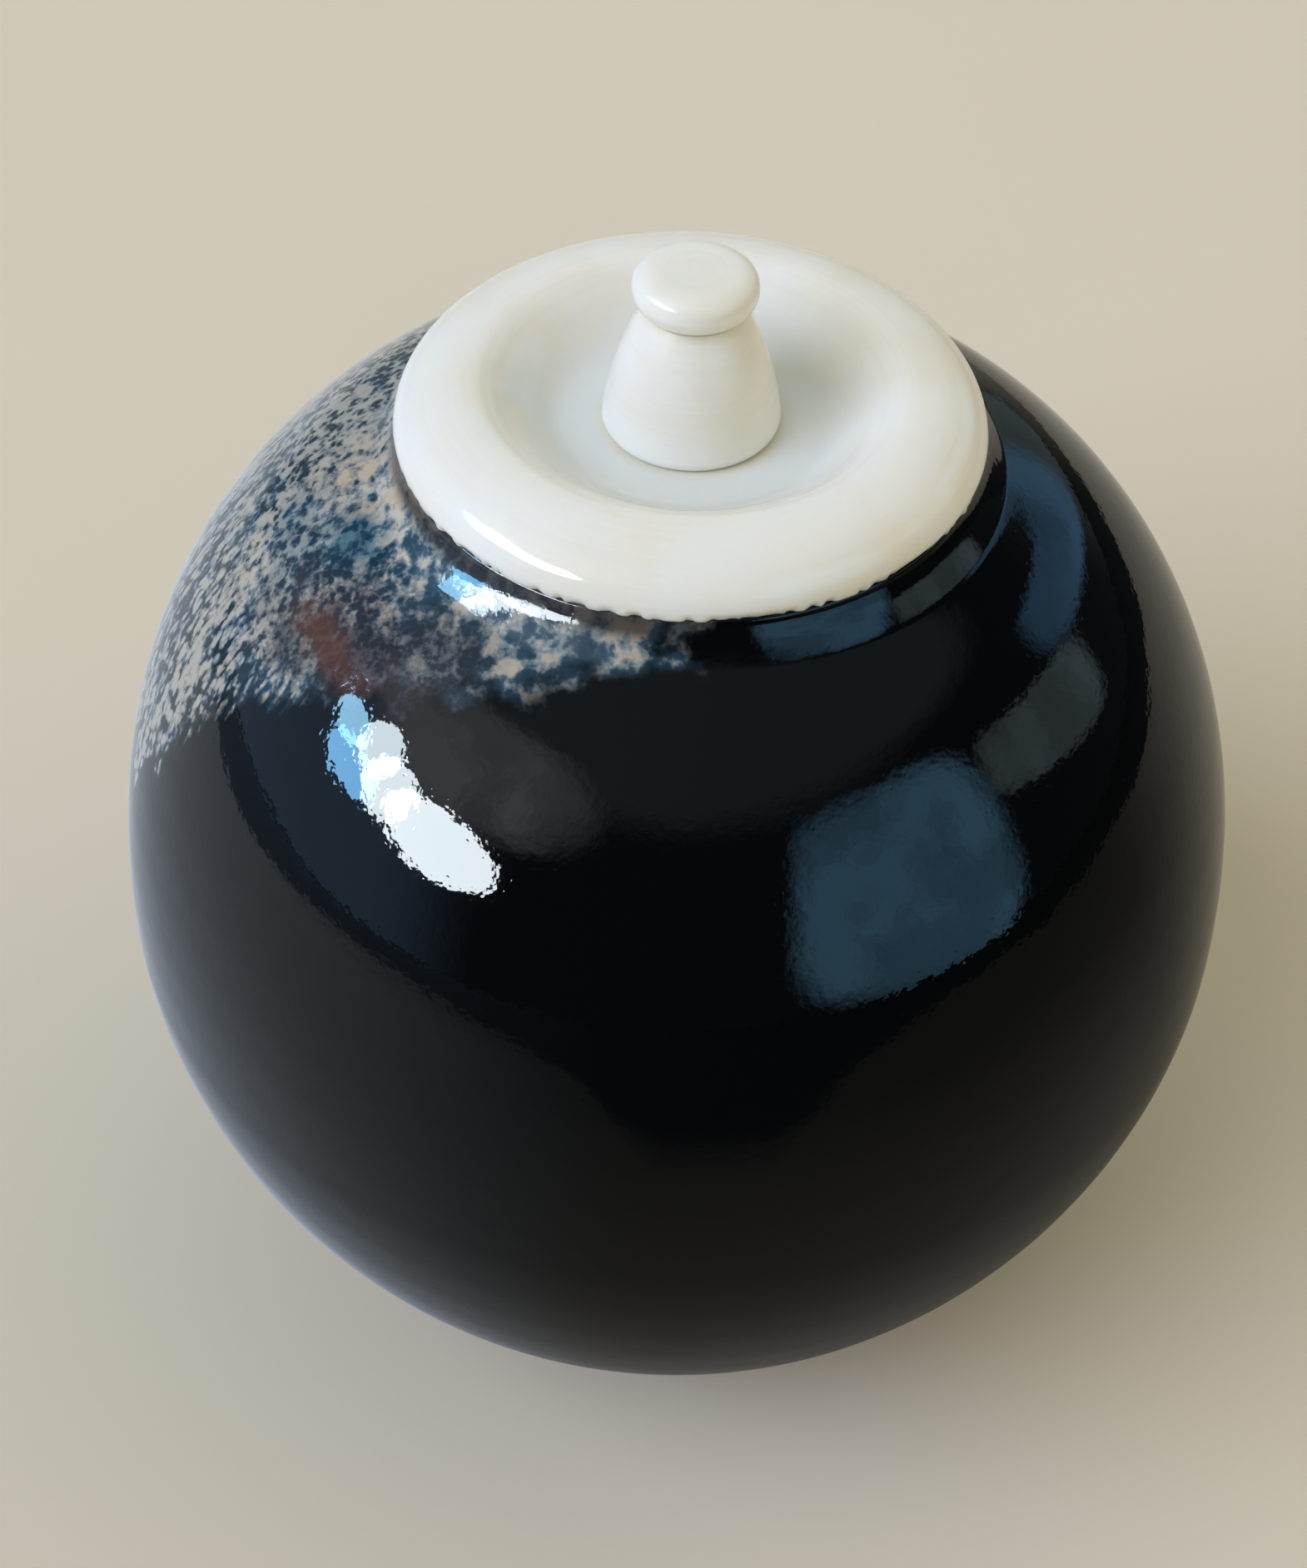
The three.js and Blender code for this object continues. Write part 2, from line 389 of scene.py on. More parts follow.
glaze = {
    "black": (0.0012, 0.0014, 0.0018, 1),
    "deep": (0.012, 0.02, 0.028, 1),
    "deepGreen": (0.008, 0.028, 0.03, 1),
    "slate": (0.08, 0.084, 0.098, 1),
    "slateBlue": (0.045, 0.095, 0.14, 1),
    "ash": (0.285, 0.272, 0.245, 1),
    "ashBlue": (0.16, 0.22, 0.25, 1),
    "cream": (0.5, 0.455, 0.38, 1),
    "creamCool": (0.345, 0.335, 0.295, 1),
    "peach": (0.47, 0.385, 0.29, 1),
    "teal": (0.004, 0.04, 0.075, 1),
    "tealPale": (0.05, 0.14, 0.19, 1),
    "holeBlue": (0.025, 0.065, 0.1, 1),
    "mauveDark": (0.018, 0.0155, 0.018, 1),
    "mauve": (0.058, 0.054, 0.068, 1),
    "rust": (0.1, 0.034, 0.014, 1),
    # Dark brown under the lid's edge: partly the glaze's own brown at the lip, partly painted shade from the
    # lid
    "lip": (0.022, 0.016, 0.013, 1),
    "amber": (0.09, 0.035, 0.012, 1),
    "clay": (0.3, 0.165, 0.1, 1),
    "clayDark": (0.2, 0.1, 0.06, 1),
    "runMiddle": -110,  # degrees round from the front, to the left
    "runNarrow": 38,  # half width of the tongue, in degrees
    "runSpread": 66,  # how much wider it is under the neck
    "runTop": 63.5,
    "runFall": 4.2,  # height over which it narrows
    "runTip": 37.0,
    "runTipLength": 9.0,
    "runDrips": 26.0,  # how unevenly its foot hangs down
    "girth": 31.0,  # radius that the drawn-out specks are laid on
    "drawn": 0.66,  # less than 1 draws the specks out down the slope
    # Noise sizes in millimetres
    "size": {"speck": 0.66, "blot": 1.15, "grain": 0.3, "soft": 1.5, "large": 6.0, "hue": 3.0, "drip": 5.0,
             "streak": 0.6, "veil": 2.4, "grit": 0.35, "skin": 0.5, "ripple": 2.6, "dimple": 1.1,
             "pit": 0.42},
    # Zones of the run: degrees round from the front, or heights, where each starts to fade in and is full
    "frontZone": (-62, -38),
    "coldZone": (-68, -54),
    "besideZone": (-100, -84),
    "backZone": (-72, -96),
    "paleZone": (-32, -20),
    "lowZone": (60.5, 55.0),
    "besideHeight": (60.5, 62.5),
    "lipHeight": (64.1, 64.9),
    # Patches on the run: degrees round, height, half width, half height, strength
    "cloud": ((-51, 60.1, 7.6, 2.1, 1.0), (-40, 62.0, 4.2, 1.2, 0.75), (-62, 58.8, 3.4, 1.3, 0.85),
              (-70, 58.7, 3.0, 1.2, 0.5)),
    "glow": ((-58, 59.9, 3.2, 0.9, 1.0), (-49, 59.5, 3.4, 0.7, 0.75)),
    "tealBlots": ((-69, 62.2, 2.9, 1.2, 1.0), (-77, 60.6, 4.8, 1.6, 0.6)),
    # Arcs that the cord left under the foot
    "cutCentre": (-9.0, 4.0),  # x and y
    "cutWaves": 5.2,  # radians to the millimetre
}


def glazeFinish():
    finish, shader, spot = startFinish("black_glaze_with_ash_run", {"IOR": 1.36})
    size = glaze["size"]
    x, y, z = spot.millimetres()
    r, around = axisDistance(x, y), axisTurn(x, y)
    rise = spot.math("ARCTAN2", z - jar["bellyHeight"], r) * jar["bellyRadius"]
    sideX, sideY = x / r * glaze["girth"], y / r * glaze["girth"]

    # Outline of the run: its half width falls off exponentially below the neck and ends in a tip.
    # How far a spot is inside it is measured across the outline, in millimetres.
    away = (around - math.radians(glaze["runMiddle"])).apply("COSINE").apply("ARCCOSINE")
    below = (z - glaze["runTop"]).least(0.0) / glaze["runFall"]
    spread = below.apply("EXPONENT") * math.radians(glaze["runSpread"])
    drip = spot.vector(sideX, sideY, 0.0).noise(size["drip"], 2.0)
    left = z - glaze["runTip"] + (drip - 0.5) * glaze["runDrips"]
    tip = (left / glaze["runTipLength"]).fade(0.0, 1.0).apply("SQRT")
    slope = spread * r / glaze["runFall"]
    inside = (tip * math.radians(glaze["runNarrow"]) + spread - away) * r / (1 + slope * slope) ** 0.5
    inside = inside.least(left * 0.8)

    # Specks are round near the neck and drawn out along the meridian lower down, blots lie at the front.
    place = spot.vector(x, y, z)
    flow = spot.vector(sideX, sideY, rise * glaze["drawn"])
    low = z.fade(*glaze["lowZone"])
    front = around.fadeAngle(*glaze["frontZone"])
    cold = around.fadeAngle(*glaze["coldZone"])
    back = around.fadeAngle(*glaze["backZone"])
    beside = around.fadeAngle(*glaze["besideZone"]) * (1 - cold) * z.fade(*glaze["besideHeight"])

    def mottled(where, across):
        strewn = where.wander(1.6 * across, 0.45 * across)
        return (strewn.cells(across) - 0.5) * 0.5 + (strewn.noise(1.25 * across, 2.5, 0.65) - 0.5) * 0.8

    roundSpeck = mottled(place, size["speck"])
    drawnSpeck = 0 - mottled(flow, size["speck"] * 0.9)
    hole = mottled(place, size["blot"])
    soft = place.noise(size["soft"], 3.0, 0.6)
    grain = place.noise(size["grain"], 2.0, 0.6)
    large = place.noise(size["large"], 2.0)
    hue = place.noise(size["hue"], 2.0)
    streak = spot.vector(sideX, sideY, rise * 0.12).noise(size["streak"], 2.0)
    veil = spot.vector(sideX, sideY, rise * 0.15).noise(size["veil"], 2.0)
    speck = low * drawnSpeck + (1 - low) * roundSpeck
    share = (front * 0.85).most(beside * 0.6)
    mottle = share * hole + (1 - share) * speck + (soft - 0.5) * 0.3 + (grain - 0.5) * 0.3
    border = inside + (large - 0.5) * 2.4 + (streak - 0.5) * (1 - front) * 2.6 + (soft - 0.5) * 2.0
    run = border.fade(-0.7, 0.7)

    # Ellipses with edges softened by noise. The strongest counts where they overlap.
    def patch(degrees, height, wide, tall, strength):
        across = (around - math.radians(degrees)) * r / wide
        up = (z - height) / tall
        distance = (across * across + up * up) ** 0.5
        return (distance + (soft - 0.5) * 1.6 + (grain - 0.5) * 0.5).fade(1.5, 0.4) * strength

    # A mauve cloud at the left front with a rusty glow, and blue-green blots.
    cloud, glow, teal = [reduce(Wire.most, [patch(*row) for row in glaze[name]])
                         for name in ("cloud", "glow", "tealBlots")]

    # Tone from -0.2, the deepest holes, to 0.2, the palest specks: the mottle, lifted or lowered by zone.
    lively = 1.3 - 0.25 * z.fade(60.5, 63.0) * (1 - front) * (1 - beside) + 0.1 * low
    tone = mottle * lively + 0.025 + (large - 0.5) * 0.35 + (veil - 0.5) * 0.4 * low
    tone = tone + 0.07 * beside + 0.02 * z.fade(62.0, 63.2) + 0.12 * around.fadeAngle(*glaze["paleZone"])
    tone = tone - 0.12 * cold - 0.06 * teal - 0.065 * back * (1 - 0.5 * low)
    tone = tone - 0.1 * z.fade(52.0, 36.0) - 0.14 * border.fade(1.0, -0.4)

    # Four colours from dark to pale, each of them cooler, warmer or duller by zone.
    warm = hue.fade(0.47, 0.6) * beside.most(front * 0.4)
    blue = (hue.fade(0.56, 0.42) * 0.8).most(cold * 0.8).most(back * 0.2)
    dull = (back * 0.9).most(front * 0.75).most(low * 0.6)
    deep = cold.mix(hue.fade(0.45, 0.6).mix(glaze["deep"], glaze["deepGreen"]), glaze["holeBlue"])
    slate = blue.mix(glaze["slate"], glaze["slateBlue"])
    ash = blue.mix(glaze["ash"], glaze["ashBlue"])
    cream = warm.mix(dull.mix(glaze["cream"], glaze["creamCool"]), glaze["peach"])
    colour = tone.fade(-0.2, -0.09).mix(deep, slate)
    colour = tone.fade(-0.11, 0.01).mix(colour, ash)
    colour = tone.fade(0.0, 0.16).mix(colour, cream)
    blot = (tone + streak * 0.3).fade(0.05, 0.3).mix(glaze["teal"], glaze["tealPale"])
    colour = (teal * 0.92).mix(colour, blot)
    mauve = (mottle + (grain - 0.5) * 0.6).fade(-0.1, 0.2).mix(glaze["mauveDark"], glaze["mauve"])
    colour = (cloud * 0.95).mix(colour, mauve)
    colour = (glow * (0.4 + 0.6 * grain)).mix(colour, glaze["rust"])
    colour = run.mix(glaze["black"], colour)
    # Dark brown band just under the lid: partly the glaze's own brown at the lip, partly painted shade cast
    # by the lid's edge.
    colour = (z.fade(*glaze["lipHeight"]) * run * 0.85).mix(colour, glaze["lip"])

    # Bare clay under the glaze line, with a thin amber edge where the glaze runs out.
    edge = glazeEdge(around, lambda turn: turn.apply("SINE"))
    height = z - edge + (grain - 0.5) * 0.25
    colour = height.fade(0.9, 0.15).mix(colour, glaze["amber"])
    grit = spot.noise(size["grit"] * mm, 3.0, 0.7)
    clay = grit.fade(0.35, 0.65).mix(glaze["clayDark"], glaze["clay"])
    bare = height.fade(0.05, -0.1)
    # The cord that cut the pot off the wheel left arcs round a point beside the middle of the foot.
    cutAway = axisDistance(x - glaze["cutCentre"][0], y - glaze["cutCentre"][1])
    cut = (cutAway * glaze["cutWaves"] + grain * 2.0).apply("SINE")
    cut = (cut * 0.5 + 0.5) * z.fade(0.3, 0.05)
    clay = (cut * 0.35).mix(clay, glaze["clayDark"])
    colour = bare.mix(colour, clay)

    pale = tone.fade(-0.05, 0.12) * run
    skin = spot.noise(size["skin"] * mm, 1.5, 0.5)
    ripple = spot.noise(size["ripple"] * mm, 1.0, 0.5)
    dimple = spot.noise(size["dimple"] * mm, 1.0, 0.5)
    pit = spot.noise(size["pit"] * mm, 1.0, 0.5).fade(0.66, 0.8)
    gloss = 0.03 + 0.05 * pale + 0.03 * run * skin + 0.8 * bare
    relief = skin * 0.0075 + dimple * 0.004 + ripple * 0.011 - pit * 0.002 + pale * 0.004
    relief = relief + bare * (grit * 0.05 - cut * 0.07)
    feed(shader, {"Base Color": colour, "Roughness": gloss, "Normal": relief.bump(1.0)})
    return finish


inner = {
    "brown": (0.055, 0.032, 0.018, 1),
    "deep": (0.018, 0.011, 0.008, 1),
    "olive": (0.07, 0.055, 0.025, 1),
    "cloudSize": 5.0,  # millimetres
    "crystalSize": 0.5,
}


# Thin brown glaze inside, darker where it pooled and paler on the finger rings.
def innerFinish():
    finish, shader, spot = startFinish("brown_inner_glaze", {"IOR": 1.48})
    x, y, z = spot.millimetres()
    ring = (z * (2 * math.pi / jar["throwingRing"]) + axisTurn(x, y)).apply("SINE")
    cloud = spot.noise(inner["cloudSize"] * mm, 3.0)
    crystal = spot.noise(inner["crystalSize"] * mm, 3.0, 0.65)
    colour = (cloud + ring * 0.12).fade(0.3, 0.7).mix(inner["deep"], inner["brown"])
    colour = crystal.fade(0.58, 0.68).mix(colour, inner["olive"])
    feed(shader, {"Base Color": colour, "Roughness": 0.2 + crystal * 0.25, "Normal": crystal.bump(0.012)})
    return finish


profile, finishes, outsideRows = jarProfile()
jarPiece = spinPiece("jar_glazed", profile, finishes, jar["turns"], [glazeFinish(), innerFinish()], jarShape)
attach(jarPiece, "jar")
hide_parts("jar_body")


# Lid
lid = {
    "turns": 600,
    "radius": lidHigh.x / mm,
    "crestHeight": lidHigh.z / mm,
    "plugEnd": lidLow.z / mm,
    "liningTop": liningHigh.z / mm,
    "edgeRound": 0.4,
    "rimWidth": 4.3,
    "wellDepth": 2.9,
    "wellRun": 5.4,
    "wellEase": 0.36,
    "plugRadius": 13.0,
    "plugBevel": 0.4,
    "seatRadius": 11.4,
    "socketRadius": 1.6,
    "socketEnd": 63.9,
    "burr": 0.24,  # ragged lower edge left by the lathe tool
    "burrHeight": (0.75, 0.15),  # above the rim of the jar
    "burrInset": 1.5,  # from the plug out to where the burr may start
    "burrKnots": ((300, 3), (23, 4), (150, 5)),  # knots round the edge and seed: fine, broad and middling
    "burrRag": (0.25, 0.9),
    "toolLines": ((12.5, 0.02), (11.6, 0.024), (11.0, 0.014), (10.0, 0.012), (13.8, 0.01)),  # radius, depth
    "toolLineWidth": 0.17,
    "toolLineFaint": 0.25,  # share of their depth that is left on the far side
    "toolLineTurn": 0.5,  # where they are deepest, in radians to the left of the front
    "toolLineSides": (-0.3, 0.7),
    "toolWobble": 0.006,
    "grooveReach": 0.35,  # how far up the painted yellow glow goes round the knob
    "smooth": 0.05,  # least roughness
    "paintedLight": 0.85,  # how strong the painted cool shade on the well's floor is
    "rows": {"seat": 4, "seatSide": 3, "plugEnd": 4, "plugBevel": 6, "plugSide": 6, "under": 6, "edge": 8,
             "rim": 44, "well": 64, "floor": 12, "socket": 3, "socketEnd": 3},
}
wellFloor = lid["crestHeight"] - lid["wellDepth"]


# From the lining's seat round the plug to the rim, then over the crest and down to the knob's socket.
def lidProfile():
    rows, top, edge = lid["rows"], lid["crestHeight"], rimHeight + lid["edgeRound"]
    crest = lid["radius"] - lid["rimWidth"]
    wellRadius, ease = crest - lid["wellRun"], lid["wellRun"] * lid["wellEase"]
    plug, end, bevel = lid["plugRadius"], lid["plugEnd"], lid["plugBevel"]
    seat, seatTop = lid["seatRadius"], lid["liningTop"]
    socket, socketEnd = lid["socketRadius"], lid["socketEnd"]
    centre, under = lid["radius"] - lid["edgeRound"], (lid["edgeRound"], lid["edgeRound"])
    well = [(crest, top), (crest - ease, top), (wellRadius + ease, wellFloor), (wellRadius, wellFloor)]
    return joinRuns(
        (0, lineRun((0, seatTop), (seat, seatTop), rows["seat"])),
        (0, lineRun((seat, seatTop), (seat, end), rows["seatSide"])),
        (0, lineRun((seat, end), (plug - bevel, end), rows["plugEnd"])),
        (0, arcRun((plug - bevel, end + bevel), (bevel, bevel), -90, 0, rows["plugBevel"])),
        (0, lineRun((plug, end + bevel), (plug, rimHeight), rows["plugSide"])),
        (0, lineRun((plug, rimHeight), (centre, rimHeight), rows["under"])),
        (0, arcRun((centre, edge), under, -90, 0, rows["edge"])),
        (0, arcRun((crest, edge), (lid["rimWidth"], top - edge), 0, 90, rows["rim"])),
        (0, curveRun(well, rows["well"])),
        (0, lineRun((wellRadius, wellFloor), (socket, wellFloor), rows["floor"])),
        (0, lineRun((socket, wellFloor), (socket, socketEnd), rows["socket"])),
        (0, lineRun((socket, socketEnd), (0, socketEnd), rows["socketEnd"])),
    )


# The lathe's marks: fine rings sunk into the top as Gaussian grooves, fainter on the far side, and a burr
# round the lower edge that stands out where rings of random knots are high.
def lidShape(r, z, angle):
    upper = z > rimHeight + lid["edgeRound"]
    groove = sum(depth * np.exp(-((r - radius) / lid["toolLineWidth"]) ** 2)
                 for radius, depth in lid["toolLines"])
    near = fade(np.cos(angle + lid["toolLineTurn"]), *lid["toolLineSides"])
    groove = groove * (lid["toolLineFaint"] + (1 - lid["toolLineFaint"]) * near)
    wobble = lid["toolWobble"] * np.sin(angle + 5 * r) * (groove > 0.002)
    low = fade(z - rimHeight, *lid["burrHeight"]) * (r > lid["plugRadius"] + lid["burrInset"])
    fine, broad, middling = [ringNoise(angle, knots, seed) for knots, seed in lid["burrKnots"]]
    rag = fade(fine * broad + 0.4 * middling, *lid["burrRag"])
    return r - lid["burr"] * low * (1 - rag), z - upper * (groove + wobble)


ivory = {
    "pale": (0.835, 0.825, 0.785, 1),
    "warm": (0.815, 0.785, 0.71, 1),
    # Painted yellow glow of light that bounces in the groove under the knob's head and round its foot
    "groove": (0.8, 0.72, 0.5, 1),
    # Painted cool shade on the floor of the well, where the rim and the knob shade it
    "paintedLight": (0.69, 0.725, 0.725, 1),
    "grooveRadius": (5.8, 5.0),  # millimetres, as all below
    "wellShadeRadius": (11.4, 6.6),
    "cloudSize": 7.0,
    "ringSize": 0.3,
    "grainSize": 0.6,
    "glowDepth": 1.2,  # how far light goes into it
}


# Turned ivory-coloured resin: softly clouded, with fine rings from the lathe, a painted yellow glow in a
# groove for light that bounces in it, and painted cool shade on the floor of the well.
def ivoryFinish(name, grooveHeight, piece):
    finish, shader, spot = startFinish(name, {
        "IOR": 1.4,
        "Subsurface Weight": 0.55,
        "Subsurface Radius": (1.0, 0.85, 0.6),
        "Subsurface Scale": ivory["glowDepth"] * mm,
    })
    x, y, z = spot.millimetres()
    r = axisDistance(x, y)
    cloud = spot.noise(ivory["cloudSize"] * mm, 2.0)
    ring = spot.vector(r, 0.0, z).noise(ivory["ringSize"], 2.0, 0.6)
    grain = spot.noise(ivory["grainSize"] * mm, 2.0, 0.5)
    colour = (cloud * 0.75 + ring * 0.25).fade(0.6, 0.38).mix(ivory["pale"], ivory["warm"])
    # Painted cool shade on the well's floor inside the rim.
    colour = (r.fade(*ivory["wellShadeRadius"]) * piece["paintedLight"]).mix(colour, ivory["paintedLight"])
    # Painted yellow glow in the groove, for light that bounces between its faces.
    depth = (z - grooveHeight) / piece["grooveReach"]
    groove = (depth * depth).fade(1.0, 0.0) * r.fade(*ivory["grooveRadius"])
    colour = (groove * 0.45).mix(colour, ivory["groove"])
    relief = ring * 0.0005 + grain * 0.0003
    rough = piece["smooth"] + grain * 0.05 + ring * 0.03
    feed(shader, {"Base Color": colour, "Roughness": rough, "Normal": relief.bump(1.0)})
    return finish


profile, finishes = lidProfile()
lidIvory = ivoryFinish("turned_ivory_resin", wellFloor, lid)
lidPiece = spinPiece("lid_turned", profile, finishes, lid["turns"], [lidIvory], lidShape)
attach(lidPiece, "lid")
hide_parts("lid_disc")


# Knob
knob = {
    "turns": 224,
    "top": knobHigh.z / mm,
    "tenonEnd": knobLow.z / mm,
    "radius": knobHigh.x / mm,
    "footUndercut": 0.5,
    "footRise": 0.65,
    "waistRadius": 2.85,
    "bellHeight": 7.8,
    "bellBulge": 1.87,
    "headRadius": 3.55,
    "headDish": 0.05,
    "headUnder": -78,  # degrees where the head's underside starts
    "headEdge": 1.5,  # how far in the top's rounding starts
    "headFullness": 2.5,
    "tenonRadius": 1.5,
    "outOfRound": 0.006,  # share of the radius
    "ovalTurn": 0.6,
    "ovalFrom": (0.2, 2.0),  # heights above the well's floor
    "grooveReach": 0.5,
    "smooth": 0.14,
    "paintedLight": 0.0,
    "rows": {"tenonEnd": 3, "tenon": 4, "foot": 6, "footRound": 14, "bell": 60, "groove": 4, "headUnder": 24,
             "headTop": 28, "dish": 16},
}
waist = wellFloor + knob["bellHeight"]


# Tenon, foot, bell and button head, from the bottom up.
def knobProfile():
    rows, radius, tenon, tenonEnd = knob["rows"], knob["radius"], knob["tenonRadius"], knob["tenonEnd"]
    footRise, footIn = wellFloor + knob["footRise"], radius - knob["footUndercut"]
    headRound = (knob["top"] - waist) / 2
    headCentre, middle = knob["headRadius"] - headRound, waist + headRound
    bulge = (knob["waistRadius"] + knob["bellBulge"], (footRise + waist) / 2)
    under = arcRun((headCentre, middle), (headRound, headRound), knob["headUnder"], 0, rows["headUnder"])
    flat = knob["headRadius"] - knob["headEdge"]
    over = bowlRun(knob["headEdge"], headRound, knob["headFullness"], 0, middle, rows["headTop"])
    dish = knob["top"] - knob["headDish"]
    return joinRuns(
        (0, lineRun((0, tenonEnd), (tenon, tenonEnd), rows["tenonEnd"])),
        (0, lineRun((tenon, tenonEnd), (tenon, wellFloor), rows["tenon"])),
        (0, lineRun((tenon, wellFloor), (footIn, wellFloor), rows["foot"])),
        (0, arcRun((footIn, footRise), (knob["footUndercut"], knob["footRise"]), -90, 0, rows["footRound"])),
        (0, curveRun([(radius, footRise), bulge, (knob["waistRadius"], waist)], rows["bell"])),
        (0, lineRun((knob["waistRadius"], waist), under[0], rows["groove"])),
        (0, under),
        (0, over + np.array([flat, 0])),
        (0, curveRun([(flat, knob["top"]), (flat / 2, dish), (0, dish)], rows["dish"])),
    )


# Turned by hand, so the bell and the head are a little out of round.
def knobShape(r, z, angle):
    above = fade(z - wellFloor, *knob["ovalFrom"])
    return r * (1 - knob["outOfRound"] * above * (0.5 - 0.5 * np.cos(2 * angle + knob["ovalTurn"]))), z


profile, finishes = knobProfile()
knobIvory = ivoryFinish("turned_ivory_knob", waist, knob)
knobPiece = spinPiece("knob_turned", profile, finishes, knob["turns"], [knobIvory], knobShape)
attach(knobPiece, "lid")
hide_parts("lid_knob")


# Lining
lining = {
    "turns": 192,
    "radius": liningHigh.x / mm,
    "top": liningHigh.z / mm,
    "bottom": liningLow.z / mm,
    "wrinkle": 0.03,
    "flatRim": 2.0,
    "gold": (0.84, 0.6, 0.22, 1),
    "goldDeep": (0.72, 0.44, 0.12, 1),
    "paper": (0.5, 0.3, 0.16, 1),
    "creaseSize": 2.2,
    "fleckSize": 0.5,
    "lapAt": 2.6,  # from the middle to the line where two sheets of leaf lap
    "rows": {"face": 56, "edge": 4, "back": 6},
}


def liningProfile():
    rows, radius, top, bottom = lining["rows"], lining["radius"], lining["top"], lining["bottom"]
    return joinRuns(
        (0, lineRun((0, bottom), (radius, bottom), rows["face"])),
        (0, lineRun((radius, bottom), (radius, top), rows["edge"])),
        (0, lineRun((radius, top), (0, top), rows["back"])),
    )


# Paper pasted down by hand: low waves that cross each other, pressed flat at the rim.
def liningShape(r, z, angle):
    x, y = r * np.sin(angle), -r * np.cos(angle)
    wave = np.sin(1.1 * x + 0.6 * np.sin(0.8 * y)) * np.sin(0.9 * y + 0.5 * x)
    wave = wave + 0.5 * np.sin(2.3 * x - 1.7 * y)
    below = z < lining["bottom"] + 0.01
    inward = fade(r, lining["radius"], lining["radius"] - lining["flatRim"])
    return r, z + below * lining["wrinkle"] * (wave + 1.5) * inward


# Gold leaf on paper: two sheets lapped along a line, rubbed thin in specks, creased.
def goldFinish():
    finish, shader, spot = startFinish("gold_leaf_on_paper", {"IOR": 1.45})
    x, y = spot.millimetres()[:2]
    crease = spot.wander(3.0 * mm, 0.8 * mm).noise(lining["creaseSize"] * mm, 4.0, 0.62)
    fleck = spot.noise(lining["fleckSize"] * mm, 3.0, 0.6)
    lap = (x * 0.94 + y * 0.34 - lining["lapAt"] + (crease - 0.5) * 1.2).fade(-0.12, 0.12)
    colour = (crease * 0.7 + lap * 0.25).fade(0.3, 0.62).mix(lining["goldDeep"], lining["gold"])
    worn = fleck.fade(0.64, 0.72)
    colour = worn.mix(colour, lining["paper"])
    relief = crease * 0.05 + lap * 0.008 + fleck * 0.006
    feed(shader, {
        "Base Color": colour,
        "Metallic": 1 - 0.9 * worn,
        "Roughness": 0.3 + crease * 0.25 + worn * 0.3,
        "Normal": relief.bump(1.0),
    })
    return finish


profile, finishes = liningProfile()
liningPiece = spinPiece("lining_gold", profile, finishes, lining["turns"], [goldFinish()], liningShape)
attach(liningPiece, "lid")
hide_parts("lid_lining")


# Floor, half its width in metres
floor = {
    "half": 20.0,
    "pale": (0.685, 0.615, 0.495, 1),
    "soft": (0.725, 0.655, 0.535, 1),
    "cloudSize": 90.0,  # millimetres
}


def flatSheet(name, half, height, finish):
    mesh = bpy.data.meshes.new(name)
    corners = [(-half, -half, height), (half, -half, height), (half, half, height), (-half, half, height)]
    mesh.from_pydata(corners, [], [(0, 1, 2, 3)])
    mesh.materials.append(finish)
    piece = bpy.data.objects.new(name, mesh)
    scene.collection.objects.link(piece)
    return piece


def floorFinish():
    finish, shader, spot = startFinish("pale_floor", {"Roughness": 0.8, "IOR": 1.3})
    cloud = spot.noise(floor["cloudSize"] * mm, 2.0)
    feed(shader, {"Base Color": cloud.mix(floor["pale"], floor["soft"])})
    return finish


flatSheet("studio_floor", floor["half"], 0, floorFinish())


# Sheet over the floor that only the gloss sees: painted shade on the floor as the glaze reflects it. It is
# dark in front and far away, which keeps the lower glaze black, and faint close by: a painted cool sheen on
# the left, painted shade elsewhere. Radii and heights are in millimetres, angles in degrees round from the
# front, and a pair is where something starts and where it is full.
shadeSheet = {
    "half": 20.0,
    "height": 0.5,
    "dark": (0.03, 0.034, 0.04, 1),
    "cool": (0.76, 0.86, 1.0, 1),
    "coolFar": (0.2, 0.27, 0.34, 1),
    "near": 27.0,  # where the dark part starts in front
    "far": 400.0,  # and at the sides
    "ease": 4.2,  # how slowly it darkens in front, in shares of that radius
    "easeLoss": 0.965,  # share of that ease which the sides lose
    "left": (0, -92),
    "right": (15, 108),
    "back": (179, 140),
    "start": (18.0, 24.0),
    "coolShare": 0.72,
    "dimShare": 0.66,
    "dimShareFar": 0.8,
    "dimFar": (45.0, 170.0),
    "rightBack": (85, 125),
    "rightBackLoss": 0.6,
}


def shadeSheetFinish():
    finish, shader, spot = startFinish("painted_floor_shade", {"Roughness": 1.0, "IOR": 1.0})
    x, y = spot.millimetres()[:2]
    r, around = axisDistance(x, y), axisTurn(x, y)
    left = around.fadeAngle(*shadeSheet["left"])
    side = left.most(around.fadeAngle(*shadeSheet["right"]))
    start = side * (shadeSheet["far"] - shadeSheet["near"]) + shadeSheet["near"]
    ease = start * shadeSheet["ease"] * (1 - shadeSheet["easeLoss"] * side)
    dark = ((r - start) / ease).fade(0.0, 1.0)
    dim = r.fade(*shadeSheet["dimFar"]) * (shadeSheet["dimShareFar"] - shadeSheet["dimShare"]) + shadeSheet["dimShare"]
    dim = dim * (1 - shadeSheet["rightBackLoss"] * around.fadeAngle(*shadeSheet["rightBack"]))
    # Share of the faint cover close by: a painted cool sheen on the left, painted shade elsewhere.
    paintedLight = left * shadeSheet["coolShare"] + (1 - left) * dim
    cover = dark.most(paintedLight * r.fade(*shadeSheet["start"]))
    colour = (left * (1 - dark)).mix(left.mix(shadeSheet["dark"], shadeSheet["coolFar"]), shadeSheet["cool"])
    facing = around.apply("ABSOLUTE").fadeAngle(*shadeSheet["back"])
    feed(shader, {"Base Color": colour, "Alpha": cover * facing})
    return finish


sheet = flatSheet("studio_shade_sheet", shadeSheet["half"], shadeSheet["height"] * mm, shadeSheetFinish())
sheet.visible_camera = False
sheet.visible_diffuse = False
sheet.visible_shadow = False
print("floor laid")


